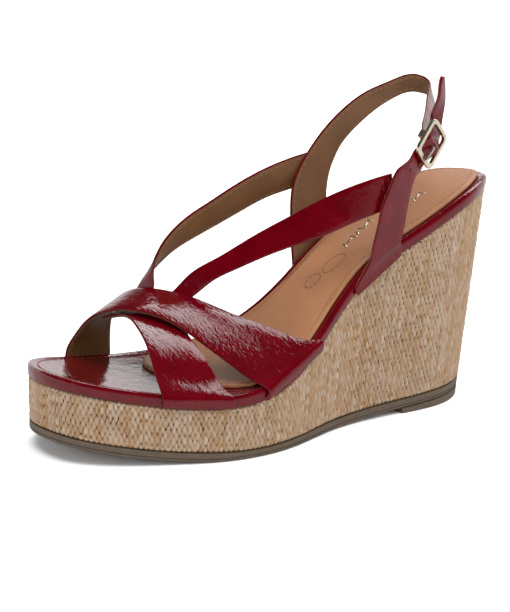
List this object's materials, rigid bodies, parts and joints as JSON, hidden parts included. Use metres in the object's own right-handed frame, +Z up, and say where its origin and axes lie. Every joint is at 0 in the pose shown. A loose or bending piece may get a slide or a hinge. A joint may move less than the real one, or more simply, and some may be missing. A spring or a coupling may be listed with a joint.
{
  "type": "wedge sandal",
  "caption": "Left-foot slingback wedge sandal: crossed patent straps over a woven-covered wedge, with a small side buckle.",
  "frame": {"origin": "centre of the bottom of the sandal's box, on the ground", "axes": "+X towards the toe, +Y towards the outer side of the foot, +Z up; left shoe"},
  "size_m": [0.2346, 0.0986, 0.1497],
  "materials": {
    "outsole_rubber": "matt grey-brown moulded rubber",
    "wedge_core": "matt expanded foam",
    "raffia": "woven natural straw",
    "insole_board": "matt fibreboard",
    "shank_steel": "rolled spring steel",
    "insole_foam": "soft foam",
    "patent_leather": "high-gloss crinkled patent",
    "lining_leather": "matt pigskin-like lining",
    "sock_leather": "satin smooth leather",
    "buckle_metal": "polished pale gold plate"
  },
  "bodies": {
    "sandal": {"outsole": "outsole_rubber", "heel_tread_pad": "outsole_rubber", "wedge_core": "wedge_core", "raffia_cover": "raffia", "insole_board": "insole_board", "steel_shank": "shank_steel", "insole_foam": "insole_foam", "footbed_rand": "patent_leather", "sock_lining": "sock_leather", "vamp_strap_over": "patent_leather", "vamp_strap_over_lining": "lining_leather", "vamp_strap_under": "patent_leather", "vamp_strap_under_lining": "lining_leather", "medial_instep_strap": "patent_leather", "medial_instep_strap_lining": "lining_leather", "lateral_instep_strap": "patent_leather", "lateral_instep_strap_lining": "lining_leather", "quarter_strap": "patent_leather", "quarter_strap_lining": "lining_leather", "slingback_strap": "patent_leather", "slingback_strap_lining": "lining_leather"},
    "buckle": {"buckle_frame": "buckle_metal"},
    "prong": {"buckle_prong": "buckle_metal"}
  },
  "joints": [
    {"name": "buckle_hinge", "type": "hinge", "parent": "sandal", "child": "buckle", "pos_m": [-0.06535, 0.02198, 0.12045], "axis": [0.6529, 0.1971, 0.7314], "range_deg": [-4, 4]},
    {"name": "prong_hinge", "type": "hinge", "parent": "buckle", "child": "prong", "pos_m": [-0.06535, 0.02198, 0.12045], "axis": [0.6529, 0.1971, 0.7314], "range_deg": [0, 12]}
  ]
}
